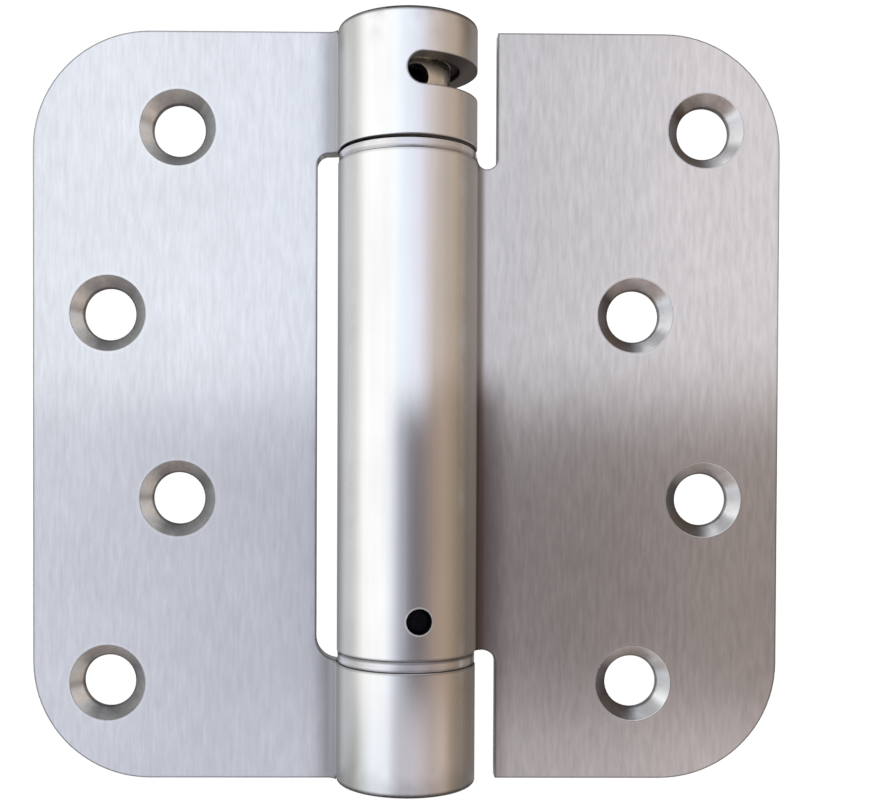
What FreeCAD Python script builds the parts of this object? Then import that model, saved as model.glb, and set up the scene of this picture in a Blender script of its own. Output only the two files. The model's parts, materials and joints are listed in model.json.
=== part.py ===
import FreeCAD, Part
import math
import os

import Sketcher

# Full-mortise spring hinge for a room door, opened flat.
# Frame: Z is the hinge axis and points up, X points to the door leaf, Y points away from the side
# with the countersunk faces. The origin is on the hinge axis at half height.
# Azimuth: degrees round the axis, 0 at the front (-Y), 90 at the door leaf (+X), 180 at the back.

SIZES = [
    # Sheet of both leaves
    ("leaf_height", 101.6),
    ("leaf_reach", 50.8),
    ("sheet_thickness", 2.4),
    ("corner_radius", 15.9),
    ("closed_gap", 1.5),
    # Knuckles rolled from the sheet
    ("barrel_radius", 9.4),
    ("bend_radius", 1.3),
    ("seam_angle", 19.0),
    ("barrel_end_round", 0.4),
    ("edge_break", 0.2),
    ("top_knuckle_length", 16.4),
    ("bottom_knuckle_length", 16.2),
    # Cut-outs beside the other leaf's knuckles
    ("barrel_clearance", 2.9),
    ("cutout_top_round", 1.6),
    ("cutout_bottom_round", 3.0),
    ("upper_notch_round", 1.45),
    ("upper_notch_dip", 0.5),
    ("lower_notch_round", 1.9),
    # Screw holes
    ("inner_hole_reach", 31.2),
    ("outer_hole_reach", 40.7),
    ("hole_pitch", 25.2),
    ("hole_diameter", 7.1),
    ("countersink_diameter", 10.3),
    ("countersink_angle", 82.0),
    # Thrust washers
    ("top_washer_thickness", 1.2),
    ("bottom_washer_thickness", 1.4),
    ("top_play", 0.35),
    ("washer_inset", 0.1),
    # Tension slot
    ("slot_height", 4.15),
    ("slot_drop", 7.85),
    ("slot_first_azimuth", 11.0),
    ("slot_last_azimuth", 137.0),
    # Plugs
    ("running_clearance", 0.06),
    ("plug_recess", 0.5),
    ("plug_bevel", 0.5),
    ("plug_engagement", 7.2),
    ("neck_radius", 5.7),
    ("neck_height", 5.2),
    ("rod_hole_radius", 1.65),
    ("rod_hole_depth", 3.4),
    ("rod_hole_count", 5),
    ("rod_hole_azimuth", 10.0),
    ("hex_across_flats", 5.0),
    ("hex_depth", 4.4),
    ("pilot_clearance", 0.3),
    ("pilot_length", 6.0),
    # Anchor pin
    ("pin_radius", 1.65),
    ("pin_clearance", 0.02),
    ("pin_rise", 5.2),
    ("pin_azimuth", 9.0),
    ("pin_recess", 1.1),
    ("pin_length", 12.0),
    ("pin_bevel", 0.3),
    ("anchor_head", 3.5),
    # Torsion spring
    ("wire_side", 2.0),
    ("coil_gap", 0.18),
    ("spring_clearance", 0.5),
    ("tang_length", 2.5),
    ("tang_clearance", 0.15),
    # How far cutting tools reach past what they cut, and past the barrel where the leaf stands beside it
    ("cutter_margin", 1.0),
    ("edge_cutter_margin", 0.05),
]

# Two lengths that differ by less than this, in mm, count as the same
SAME_LENGTH = 0.01

# Lengths and levels that follow from the sizes above
DERIVED = {
    "half_height": "Sizes.leaf_height / 2",
    "face": "Sizes.closed_gap / 2",
    "bore": "(Sizes.barrel_radius - Sizes.sheet_thickness)",
    "cut_reach": "(Sizes.barrel_radius + Sizes.barrel_clearance)",
    "past_barrel": "(Sizes.barrel_radius + Sizes.cutter_margin)",
    "top_knuckle_end": "(Sizes.leaf_height / 2 - Sizes.top_knuckle_length)",
    "bottom_knuckle_end": "(Sizes.bottom_knuckle_length - Sizes.leaf_height / 2)",
    "middle_top": "({top_knuckle_end} - Sizes.top_play - Sizes.top_washer_thickness)",
    "middle_bottom": "({bottom_knuckle_end} + Sizes.bottom_washer_thickness)",
    "slot_level": "(Sizes.leaf_height / 2 - Sizes.slot_drop)",
    "pin_level": "({middle_bottom} + Sizes.pin_rise)",
    "plug_radius": "({bore} - Sizes.running_clearance)",
    "plug_top": "(Sizes.leaf_height / 2 - Sizes.plug_recess)",
    "spring_top": "({middle_top} - Sizes.plug_engagement)",
    "spring_bottom": "({pin_level} + Sizes.anchor_head)",
    "wire_outer": "({bore} - Sizes.spring_clearance)",
    "wire_inner": "({wire_outer} - Sizes.wire_side)",
    "pilot_radius": "({wire_inner} - Sizes.pilot_clearance)",
}


def rule(text):
    """Expression with the {names} of DERIVED written out."""
    while "{" in text:
        text = text.format(**DERIVED)
    return text


doc = FreeCAD.newDocument("SpringHinge")
sheet = doc.addObject("Spreadsheet::Sheet", "Sizes")
for row, (alias, size) in enumerate(SIZES, start=1):
    sheet.set("A%d" % row, alias)
    sheet.set("B%d" % row, str(size))
    sheet.setAlias("B%d" % row, alias)
doc.recompute()


def number(text):
    """Value of an expression with the present sizes."""
    value = sheet.evalExpression(rule(text))
    return float(getattr(value, "Value", value))


def bind(feature, prop, text):
    feature.setExpression(prop, rule(text))


def origin_part(body, role):
    return next(part for part in body.Origin.OriginFeatures if part.Role == role)


def new_body(name):
    body = doc.addObject("PartDesign::Body", name)
    body.Label = name
    return body


def new_sketch(body, name, plane, turn=None, shift=None):
    """Sketch on an origin plane, turned about its upright axis and shifted along its normal."""
    sketch = body.newObject("Sketcher::SketchObject", name)
    sketch.AttachmentSupport = [(origin_part(body, plane), "")]
    sketch.MapMode = "FlatFace"
    if turn:
        spin = FreeCAD.Rotation(FreeCAD.Vector(0, 1, 0), number(turn))
        sketch.AttachmentOffset = FreeCAD.Placement(FreeCAD.Vector(), spin)
        bind(sketch, ".AttachmentOffset.Rotation.Angle", turn)
    if shift:
        sketch.AttachmentOffset = FreeCAD.Placement(FreeCAD.Vector(0, 0, number(shift)), FreeCAD.Rotation())
        bind(sketch, ".AttachmentOffset.Base.z", shift)
    return sketch


def hold(sketch, kind, text, *places):
    """Add a dimension and bind it to an expression."""
    value = number(text)
    if kind == "Angle":
        value = math.radians(value)
    index = sketch.addConstraint(Sketcher.Constraint(kind, *places, value))
    bind(sketch, "Constraints[%d]" % index, text)


def pin_point(sketch, edge, end, x_rule, y_rule):
    """Fix one end of an edge by its two coordinates."""
    for kind, text, axis in (("DistanceX", x_rule, -2), ("DistanceY", y_rule, -1)):
        if text == "0":
            sketch.addConstraint(Sketcher.Constraint("PointOnObject", edge, end, axis))
        else:
            hold(sketch, kind, text, -1, 1, edge, end)


def add_outline(sketch, corners):
    """Closed outline through corners, each (x, y) or (x, y, radius) with rules as text.

    A radius bends the edge that starts at its corner: to the left of its way for a plain rule, and
    to the right for one that starts with a minus sign.
    """
    points = [FreeCAD.Vector(number(corner[0]), number(corner[1]), 0) for corner in corners]
    edges = []
    for index, corner in enumerate(corners):
        start = points[index]
        end = points[(index + 1) % len(points)]
        if len(corner) == 2:
            edges.append((sketch.addGeometry(Part.LineSegment(start, end), False), 1, 2))
            continue
        edges.append(add_bend(sketch, start, end, corner[2]))
    for index, (edge, start_end, far_end) in enumerate(edges):
        next_edge, next_start, _ = edges[(index + 1) % len(edges)]
        sketch.addConstraint(Sketcher.Constraint("Coincident", edge, far_end, next_edge, next_start))
        pin_point(sketch, edge, start_end, corners[index][0], corners[index][1])
        if len(corners[index]) == 3:
            hold(sketch, "Radius", corners[index][2].lstrip("-"), edge)


def add_bend(sketch, start, end, radius_rule):
    """Arc of less than half a turn from start to end; returns the edge and its two end numbers."""
    leftward = not radius_rule.startswith("-")
    radius = number(radius_rule.lstrip("-"))
    chord = end - start
    normal = FreeCAD.Vector(-chord.y, chord.x, 0).normalize()
    height = math.sqrt(max(radius ** 2 - chord.Length ** 2 / 4, 0))
    centre = (start + end) / 2 + normal * (height if leftward else -height)
    first, last = (start, end) if leftward else (end, start)
    circle = Part.Circle(centre, FreeCAD.Vector(0, 0, 1), radius)
    arc = Part.ArcOfCircle(
        circle,
        math.atan2(first.y - centre.y, first.x - centre.x),
        math.atan2(last.y - centre.y, last.x - centre.x),
    )
    edge = sketch.addGeometry(arc, False)
    return (edge, 1, 2) if leftward else (edge, 2, 1)


def add_circle(sketch, x_rule, y_rule, radius_rule):
    centre = FreeCAD.Vector(number(x_rule), number(y_rule), 0)
    circle = Part.Circle(centre, FreeCAD.Vector(0, 0, 1), number(radius_rule))
    edge = sketch.addGeometry(circle, False)
    pin_point(sketch, edge, 3, x_rule, y_rule)
    hold(sketch, "Radius", radius_rule, edge)


def grow(body, kind, name, sketch):
    """Add a feature that uses a sketch, and hide the sketch."""
    feature = body.newObject("PartDesign::" + kind, name)
    feature.Profile = sketch
    sketch.Visibility = False
    return feature


def revolve(body, name, sketch, cutting=False):
    """Full revolution, or full groove, about the sketch's upright axis."""
    feature = grow(body, "Groove" if cutting else "Revolution", name, sketch)
    feature.ReferenceAxis = (sketch, ["V_Axis"])
    feature.Angle = 360
    return feature


def cut_through(body, name, sketch):
    """Pocket through the whole leaf, to both sides of its sketch."""
    pocket = grow(body, "Pocket", name, sketch)
    pocket.Type = "ThroughAll"
    pocket.SideType = "Symmetric"
    return pocket


def cut_outward(body, name, sketch, depth_rule):
    """Pocket from its sketch along the sketch's normal."""
    pocket = grow(body, "Pocket", name, sketch)
    pocket.Reversed = True
    bind(pocket, "Length", depth_rule)
    return pocket


# Leaves

def rolled_section(sketch):
    """Section of a leaf that runs to +x and rolls over the front into its knuckle.

    The sheet's front face bends into the outside of the barrel, and the sheet's cut end comes round
    to the leaf's back face, where it leaves the seam.
    """
    reach = number("Sizes.leaf_reach")
    face = number("{face}")
    sheet_side = number("Sizes.sheet_thickness")
    outside = number("Sizes.barrel_radius")
    inside = number("{bore}")
    bend = number("Sizes.bend_radius")
    seam = math.radians(number("Sizes.seam_angle"))
    centre = FreeCAD.Vector(0, face - bend, 0)
    centre.x = math.sqrt((outside + bend) ** 2 - centre.y ** 2)
    lean = math.atan2(centre.y, centre.x)
    origin = FreeCAD.Vector()
    upward = FreeCAD.Vector(0, 0, 1)

    def line(x1, y1, x2, y2):
        ends = FreeCAD.Vector(x1, y1, 0), FreeCAD.Vector(x2, y2, 0)
        return sketch.addGeometry(Part.LineSegment(*ends), False)

    def arc(middle, radius, first, last):
        return sketch.addGeometry(Part.ArcOfCircle(Part.Circle(middle, upward, radius), first, last), False)

    front = line(reach, face, centre.x, face)
    front_bend = arc(centre, bend, math.pi / 2, math.pi + lean)
    barrel_outside = arc(origin, outside, seam, 2 * math.pi + lean)
    cut_end = line(
        outside * math.cos(seam), outside * math.sin(seam), inside * math.cos(seam), inside * math.sin(seam)
    )
    barrel_inside = arc(origin, inside, seam, 2 * math.pi + lean)
    back_bend = arc(centre, bend + sheet_side, math.pi / 2, math.pi + lean)
    back = line(centre.x, face + sheet_side, reach, face + sheet_side)
    edge = line(reach, face + sheet_side, reach, face)

    def relate(kind, *places):
        sketch.addConstraint(Sketcher.Constraint(kind, *places))

    relate("Tangent", front, 2, front_bend, 1)
    relate("Tangent", front_bend, 2, barrel_outside, 2)
    relate("Coincident", barrel_outside, 1, cut_end, 1)
    relate("Coincident", cut_end, 2, barrel_inside, 1)
    relate("Tangent", barrel_inside, 2, back_bend, 2)
    relate("Tangent", back_bend, 1, back, 1)
    relate("Coincident", back, 2, edge, 1)
    relate("Coincident", edge, 2, front, 1)
    relate("Coincident", barrel_outside, 3, -1, 1)
    relate("Coincident", barrel_inside, 3, -1, 1)
    relate("Coincident", back_bend, 3, front_bend, 3)
    relate("Horizontal", front)
    relate("Horizontal", back)
    relate("Vertical", edge)
    relate("PointOnObject", -1, 1, cut_end)
    hold(sketch, "DistanceX", "Sizes.leaf_reach", -1, 1, front, 1)
    hold(sketch, "DistanceY", "{face}", -1, 1, front, 1)
    hold(sketch, "DistanceY", "Sizes.sheet_thickness", edge, 2, edge, 1)
    hold(sketch, "Radius", "Sizes.barrel_radius", barrel_outside)
    hold(sketch, "Radius", "Sizes.bend_radius", front_bend)
    hold(sketch, "Angle", "Sizes.seam_angle", -1, 1, cut_end, 2)


def leaf_body(name, half_turn):
    """Leaf of full height with its rolled knuckle and rounded outer corners."""
    body = new_body(name)
    section = new_sketch(body, name + "_section", "XY_Plane", turn="180" if half_turn else None)
    rolled_section(section)
    pad = grow(body, "Pad", name + "_sheet", section)
    pad.SideType = "Symmetric"
    bind(pad, "Length", "Sizes.leaf_height")
    doc.recompute()
    outer_x = number("Sizes.leaf_reach") * (-1 if half_turn else 1)
    corners = [
        "Edge%d" % (index + 1)
        for index, edge in enumerate(pad.Shape.Edges)
        if abs(edge.Length - number("Sizes.sheet_thickness")) < SAME_LENGTH
        and abs(edge.CenterOfMass.x - outer_x) < SAME_LENGTH
    ]
    rounding = body.newObject("PartDesign::Fillet", name + "_corners")
    rounding.Base = (pad, corners)
    bind(rounding, "Radius", "Sizes.corner_radius")
    doc.recompute()
    return body


def end_cut_outline(sketch, level_rule, size_rule, way, rounded):
    """Region that a barrel edge loses: way is + for an edge at the upper end, - for a lower end."""
    back_way = "-" if way == "+" else "+"
    beyond = "%s %s %s" % (level_rule, way, size_rule)
    start = "%s %s %s" % (level_rule, back_way, size_rule)
    outside = "Sizes.barrel_radius"
    past_outside = "Sizes.barrel_radius + Sizes.edge_cutter_margin"
    first = ("%s - %s" % (outside, size_rule), level_rule)
    last = (outside, start)
    far = [(past_outside, start), (past_outside, beyond), ("%s - %s" % (outside, size_rule), beyond)]
    if rounded:
        first += (("-" if way == "+" else "") + size_rule,)
    add_outline(sketch, [first, last] + far)


def break_ends(body, name, ends):
    """Turn the edges at the ends of the knuckles: ends holds (level, size, way, rounded)."""
    sketch = new_sketch(body, name + "_profile", "XZ_Plane")
    for level_rule, size_rule, way, rounded in ends:
        end_cut_outline(sketch, level_rule, size_rule, way, rounded)
    revolve(body, name, sketch, cutting=True)
    doc.recompute()


def screw_holes(body, name, side, reaches):
    """Countersunk holes at the given reaches, one pitch apart from the top down."""
    sketch = new_sketch(body, name + "_places", "XZ_Plane", shift="-({face})")
    top_step = (len(reaches) - 1) / 2
    for index, reach in enumerate(reaches):
        z_rule = "%.1f * Sizes.hole_pitch" % (top_step - index)
        add_circle(sketch, side + "Sizes." + reach, z_rule, "Sizes.hole_diameter / 2")
    doc.recompute()
    hole = grow(body, "Hole", name, sketch)
    hole.ThreadType = "None"
    hole.DepthType = "ThroughAll"
    hole.HoleCutType = "Countersink"
    hole.HoleCutCustomValues = True
    bind(hole, "Diameter", "Sizes.hole_diameter")
    bind(hole, "HoleCutDiameter", "Sizes.countersink_diameter")
    bind(hole, "HoleCutCountersinkAngle", "Sizes.countersink_angle")
    doc.recompute()


def frame_leaf():
    body = leaf_body("frame_leaf", half_turn=True)

    cutout = new_sketch(body, "middle_cutout", "XZ_Plane")
    left = "-{cut_reach}"
    top_round = "Sizes.cutout_top_round"
    bottom_round = "Sizes.cutout_bottom_round"
    add_outline(cutout, [
        ("{past_barrel}", "{top_knuckle_end}"),
        (left + " + " + top_round, "{top_knuckle_end}", top_round),
        (left, "{top_knuckle_end} - " + top_round),
        (left, "{bottom_knuckle_end} + " + bottom_round, bottom_round),
        (left + " + " + bottom_round, "{bottom_knuckle_end}"),
        ("{past_barrel}", "{bottom_knuckle_end}"),
    ])
    cut_through(body, "middle_opening", cutout)
    doc.recompute()

    break_ends(body, "knuckle_edges", [
        ("{half_height}", "Sizes.barrel_end_round", "+", True),
        ("-{half_height}", "Sizes.barrel_end_round", "-", True),
        ("{top_knuckle_end}", "Sizes.edge_break", "-", False),
        ("{bottom_knuckle_end}", "Sizes.edge_break", "+", False),
    ])
    screw_holes(body, "frame_holes", "-",
                ["inner_hole_reach", "outer_hole_reach", "inner_hole_reach", "outer_hole_reach"])
    tension_slot(body)
    return body


def tension_slot(body):
    """Slot round the upper knuckle, with rounded ends, for the rod that winds the spring."""
    band = new_sketch(body, "slot_band", "YZ_Plane", turn="Sizes.slot_first_azimuth + 180")
    low = "{slot_level} - Sizes.slot_height / 2"
    high = "{slot_level} + Sizes.slot_height / 2"
    inside = "{bore} - Sizes.cutter_margin"
    add_outline(band, [(inside, low), ("{past_barrel}", low), ("{past_barrel}", high), (inside, high)])
    groove = grow(body, "Groove", "slot_run", band)
    groove.ReferenceAxis = (band, ["V_Axis"])
    bind(groove, "Angle", "Sizes.slot_last_azimuth - Sizes.slot_first_azimuth")
    doc.recompute()
    for end in ("first", "last"):
        name = "slot_%s_end" % end
        circle = new_sketch(body, name + "_circle", "XZ_Plane", turn="Sizes.slot_%s_azimuth" % end)
        add_circle(circle, "0", "{slot_level}", "Sizes.slot_height / 2")
        cut_outward(body, name, circle, "{past_barrel}")
        doc.recompute()


def door_leaf():
    body = leaf_body("door_leaf", half_turn=False)

    right = "{cut_reach}"
    left = "-{past_barrel}"
    upper = new_sketch(body, "upper_notch", "XZ_Plane")
    upper_round = "Sizes.upper_notch_round"
    dip = "({middle_top} - Sizes.upper_notch_dip)"
    add_outline(upper, [
        (left, "{half_height} + Sizes.cutter_margin"),
        (left, "{middle_top}"),
        ("%s - 2 * %s" % (right, upper_round), "{middle_top}"),
        ("%s - 2 * %s" % (right, upper_round), "%s + %s" % (dip, upper_round), upper_round),
        ("%s - %s" % (right, upper_round), dip, upper_round),
        (right, "%s + %s" % (dip, upper_round)),
        (right, "{half_height} + Sizes.cutter_margin"),
    ])
    cut_through(body, "upper_opening", upper)
    lower = new_sketch(body, "lower_notch", "XZ_Plane")
    lower_round = "Sizes.lower_notch_round"
    add_outline(lower, [
        (right, "-{half_height} - Sizes.cutter_margin"),
        (right, "{middle_bottom} - " + lower_round, lower_round),
        ("%s - %s" % (right, lower_round), "{middle_bottom}"),
        (left, "{middle_bottom}"),
        (left, "-{half_height} - Sizes.cutter_margin"),
    ])
    cut_through(body, "lower_opening", lower)
    doc.recompute()

    break_ends(body, "middle_edges", [
        ("{middle_top}", "Sizes.edge_break", "+", False),
        ("{middle_bottom}", "Sizes.edge_break", "-", False),
    ])
    screw_holes(body, "door_holes", "",
                ["outer_hole_reach", "inner_hole_reach", "outer_hole_reach", "inner_hole_reach"])
    bore = new_sketch(body, "pin_bore_circle", "XZ_Plane", turn="Sizes.pin_azimuth")
    add_circle(bore, "0", "{pin_level}", "Sizes.pin_radius")
    cut_outward(body, "pin_bore", bore, "{past_barrel}")
    doc.recompute()
    return body


# Plugs

def tension_plug():
    body = new_body("tension_plug")
    profile = new_sketch(body, "plug_profile", "XZ_Plane")
    bevel = "Sizes.plug_bevel"
    add_outline(profile, [
        ("0", "{plug_top}"),
        ("0", "{spring_top} - Sizes.pilot_length"),
        ("{pilot_radius} - " + bevel, "{spring_top} - Sizes.pilot_length"),
        ("{pilot_radius}", "{spring_top} - Sizes.pilot_length + " + bevel),
        ("{pilot_radius}", "{spring_top}"),
        ("{plug_radius}", "{spring_top}"),
        ("{plug_radius}", "{slot_level} - Sizes.neck_height / 2"),
        ("Sizes.neck_radius", "{slot_level} - Sizes.neck_height / 2"),
        ("Sizes.neck_radius", "{slot_level} + Sizes.neck_height / 2"),
        ("{plug_radius}", "{slot_level} + Sizes.neck_height / 2"),
        ("{plug_radius}", "{plug_top} - " + bevel),
        ("{plug_radius} - " + bevel, "{plug_top}"),
    ])
    revolve(body, "plug_turning", profile)
    doc.recompute()

    socket = new_sketch(body, "key_hexagon", "XY_Plane", shift="{plug_top}")
    hexagon(socket, "Sizes.hex_across_flats")
    pocket = grow(body, "Pocket", "key_socket", socket)
    bind(pocket, "Length", "Sizes.hex_depth")
    doc.recompute()

    tang_notch(body, "upper_tang", "{spring_top}", upward=True)

    circle = new_sketch(body, "rod_hole_circle", "XZ_Plane", turn="Sizes.rod_hole_azimuth")
    add_circle(circle, "0", "{slot_level}", "Sizes.rod_hole_radius")
    hole = rod_hole(body, circle)
    doc.recompute()
    ring = body.newObject("PartDesign::PolarPattern", "rod_hole_ring")
    ring.Originals = [hole]
    ring.Axis = (origin_part(body, "Z_Axis"), [""])
    ring.Angle = 360
    bind(ring, "Occurrences", "Sizes.rod_hole_count")
    body.Tip = ring
    doc.recompute()
    return body


def rod_hole(body, circle):
    """Blind hole from the neck's surface inward."""
    bottom = "Sizes.neck_radius - Sizes.rod_hole_depth"
    circle.AttachmentOffset = FreeCAD.Placement(
        circle.AttachmentOffset.Rotation.multVec(FreeCAD.Vector(0, 0, number(bottom))),
        circle.AttachmentOffset.Rotation,
    )
    azimuth = "Sizes.rod_hole_azimuth"
    bind(circle, ".AttachmentOffset.Base.x", "(%s) * sin(%s * 1 deg)" % (bottom, azimuth))
    bind(circle, ".AttachmentOffset.Base.z", "(%s) * cos(%s * 1 deg)" % (bottom, azimuth))
    return cut_outward(body, "rod_hole", circle, "Sizes.rod_hole_depth + Sizes.cutter_margin")


def hexagon(sketch, across_rule):
    """Regular hexagon round the origin with one flat to the front."""
    corner_radius = number(across_rule) / math.sqrt(3)
    angles = [step * math.pi / 3 for step in range(6)]
    points = [
        FreeCAD.Vector(corner_radius * math.cos(angle), corner_radius * math.sin(angle), 0)
        for angle in angles
    ]
    sides = [
        sketch.addGeometry(Part.LineSegment(points[step], points[(step + 1) % 6]), False) for step in range(6)
    ]
    circle = Part.Circle(FreeCAD.Vector(), FreeCAD.Vector(0, 0, 1), corner_radius)
    guide = sketch.addGeometry(circle, True)
    sketch.addConstraint(Sketcher.Constraint("Coincident", guide, 3, -1, 1))
    hold(sketch, "Radius", "%s / sqrt(3)" % across_rule, guide)
    for step, side in enumerate(sides):
        sketch.addConstraint(Sketcher.Constraint("Coincident", side, 2, sides[(step + 1) % 6], 1))
        sketch.addConstraint(Sketcher.Constraint("PointOnObject", side, 1, guide))
        if step:
            sketch.addConstraint(Sketcher.Constraint("Equal", sides[0], side))
    sketch.addConstraint(Sketcher.Constraint("Horizontal", sides[1]))


def tang_notch(body, name, level_rule, upward):
    """Notch in a plug's end for the spring's tang, open to the outside."""
    notch = new_sketch(body, name + "_outline", "XY_Plane", shift=level_rule)
    near = "-Sizes.tang_clearance" if upward else "-Sizes.wire_side - Sizes.tang_clearance"
    far = "Sizes.wire_side + Sizes.tang_clearance" if upward else "Sizes.tang_clearance"
    inner = "{wire_inner} - Sizes.tang_clearance"
    add_outline(notch, [(inner, near), ("{past_barrel}", near), ("{past_barrel}", far), (inner, far)])
    pocket = grow(body, "Pocket", name + "_notch", notch)
    pocket.Reversed = upward
    bind(pocket, "Length", "Sizes.tang_length + Sizes.tang_clearance")
    doc.recompute()


def anchor_plug():
    body = new_body("anchor_plug")
    profile = new_sketch(body, "anchor_profile", "XZ_Plane")
    bevel = "Sizes.plug_bevel"
    pilot_end = "({spring_bottom} + Sizes.pilot_length)"
    foot = "(Sizes.plug_recess - {half_height})"
    add_outline(profile, [
        ("0", foot),
        ("{plug_radius} - " + bevel, foot),
        ("{plug_radius}", foot + " + " + bevel),
        ("{plug_radius}", "{spring_bottom}"),
        ("{pilot_radius}", "{spring_bottom}"),
        ("{pilot_radius}", pilot_end + " - " + bevel),
        ("{pilot_radius} - " + bevel, pilot_end),
        ("0", pilot_end),
    ])
    revolve(body, "anchor_turning", profile)
    doc.recompute()
    tang_notch(body, "lower_tang", "{spring_bottom}", upward=False)
    hole = new_sketch(body, "anchor_hole_circle", "XZ_Plane", turn="Sizes.pin_azimuth")
    add_circle(hole, "0", "{pin_level}", "Sizes.pin_radius")
    pocket = grow(body, "Pocket", "anchor_hole", hole)
    pocket.SideType = "Two sides"
    bind(pocket, "Length2", "{past_barrel}")
    bind(pocket, "Length", "Sizes.pin_length + Sizes.pin_recess - Sizes.barrel_radius + Sizes.pin_bevel")
    doc.recompute()
    return body


def anchor_pin():
    """Pin across the anchor plug, its outer end below the barrel's surface."""
    body = new_body("anchor_pin")
    profile = new_sketch(body, "pin_profile", "XZ_Plane")
    outer = "(Sizes.barrel_radius - Sizes.pin_recess)"
    inner = "(%s - Sizes.pin_length)" % outer
    radius = "(Sizes.pin_radius - Sizes.pin_clearance)"
    bevel = "Sizes.pin_bevel"
    add_outline(profile, [
        ("0", inner),
        ("%s - %s" % (radius, bevel), inner),
        (radius, "%s + %s" % (inner, bevel)),
        (radius, "%s - %s" % (outer, bevel)),
        ("%s - %s" % (radius, bevel), outer),
        ("0", outer),
    ])
    revolve(body, "pin_turning", profile)
    azimuth = number("Sizes.pin_azimuth")
    lay_down = FreeCAD.Rotation(FreeCAD.Vector(1, 0, 0), 90)
    swing = FreeCAD.Rotation(FreeCAD.Vector(0, 0, 1), azimuth)
    body.Placement = FreeCAD.Placement(FreeCAD.Vector(0, 0, number("{pin_level}")), swing * lay_down)
    bind(body, ".Placement.Base.z", "{pin_level}")
    doc.recompute()
    return body


# Washers and spring

def washer(name, level_rule, thickness_rule):
    """Flat ring with broken outer edges, placed on its lower face."""
    body = new_body(name)
    profile = new_sketch(body, name + "_profile", "XZ_Plane")
    outside = "(Sizes.barrel_radius - Sizes.washer_inset)"
    edge = "Sizes.edge_break"
    add_outline(profile, [
        ("{bore}", "0"),
        ("%s - %s" % (outside, edge), "0"),
        (outside, edge),
        (outside, "%s - %s" % (thickness_rule, edge)),
        ("%s - %s" % (outside, edge), thickness_rule),
        ("{bore}", thickness_rule),
    ])
    revolve(body, name + "_turning", profile)
    body.Placement.Base = FreeCAD.Vector(0, 0, number(level_rule))
    bind(body, ".Placement.Base.z", level_rule)
    doc.recompute()
    return body


def torsion_spring():
    """Left-hand coil of square wire whose ends turn down and up into the plugs."""
    body = new_body("torsion_spring")
    wire = new_sketch(body, "wire_section", "XZ_Plane")
    side = "Sizes.wire_side"
    low = "{spring_bottom}"
    add_outline(wire, [
        ("{wire_inner}", low),
        ("{wire_outer}", low),
        ("{wire_outer}", "%s + %s" % (low, side)),
        ("{wire_inner}", "%s + %s" % (low, side)),
    ])
    doc.recompute()
    coil = grow(body, "AdditiveHelix", "coil", wire)
    coil.ReferenceAxis = (wire, ["V_Axis"])
    coil.Mode = "height-turns-angle"
    coil.LeftHanded = True
    rise = "({spring_top} - {spring_bottom} - Sizes.wire_side)"
    bind(coil, "Height", rise)
    bind(coil, "Turns", "floor(%s / (Sizes.wire_side + Sizes.coil_gap))" % rise)
    doc.recompute()
    spring_tang(body, "lower_tang_leg", "{spring_bottom} + Sizes.wire_side / 2", upward=False)
    spring_tang(body, "upper_tang_leg", "{spring_top} - Sizes.wire_side / 2", upward=True)
    return body


def spring_tang(body, name, level_rule, upward):
    """Straight end of the wire, along the axis."""
    outline = new_sketch(body, name + "_outline", "XY_Plane", shift=level_rule)
    near = "0" if upward else "-Sizes.wire_side"
    far = "Sizes.wire_side" if upward else "0"
    inner, outer = "{wire_inner}", "{wire_outer}"
    add_outline(outline, [(inner, near), (outer, near), (outer, far), (inner, far)])
    pad = grow(body, "Pad", name, outline)
    pad.Reversed = not upward
    bind(pad, "Length", "Sizes.tang_length + Sizes.wire_side / 2")
    doc.recompute()


bodies = [
    frame_leaf(),
    door_leaf(),
    tension_plug(),
    anchor_plug(),
    anchor_pin(),
    washer("top_washer", "{middle_top}", "Sizes.top_washer_thickness"),
    washer("bottom_washer", "{bottom_knuckle_end}", "Sizes.bottom_washer_thickness"),
    torsion_spring(),
]
doc.recompute()

for item in doc.Objects:
    if "Invalid" in item.State or "Error" in item.State:
        raise RuntimeError("%s failed: %s" % (item.Name, item.State))
os.makedirs("parts", exist_ok=True)
for body in bodies:
    shape = body.Shape
    if shape.isNull() or not shape.isValid():
        raise RuntimeError("%s has no valid shape" % body.Label)
for body in bodies:
    body.Shape.exportStep("parts/%s.step" % body.Label)
    print("%-16s %9.2f mm3, %d solid" % (body.Label, body.Shape.Volume, len(body.Shape.Solids)))
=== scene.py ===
import json
import math

import bpy
from mathutils import Euler, Matrix, Vector


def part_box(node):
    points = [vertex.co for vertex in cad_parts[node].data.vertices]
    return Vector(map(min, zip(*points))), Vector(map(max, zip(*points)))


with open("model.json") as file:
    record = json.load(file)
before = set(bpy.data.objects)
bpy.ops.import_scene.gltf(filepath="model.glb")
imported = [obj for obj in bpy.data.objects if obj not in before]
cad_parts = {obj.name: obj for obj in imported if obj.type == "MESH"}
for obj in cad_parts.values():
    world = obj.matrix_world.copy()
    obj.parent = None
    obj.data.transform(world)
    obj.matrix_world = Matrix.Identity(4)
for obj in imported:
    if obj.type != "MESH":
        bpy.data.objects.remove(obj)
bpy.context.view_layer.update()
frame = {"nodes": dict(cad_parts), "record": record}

# Looks of the spring hinge. Lengths are in metres and places are in the model's own frame: Z is the
# hinge axis, +X points to the door leaf and -Y to the viewer of the countersunk faces.
MM = 0.001
DEGREE = math.pi / 180

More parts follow.
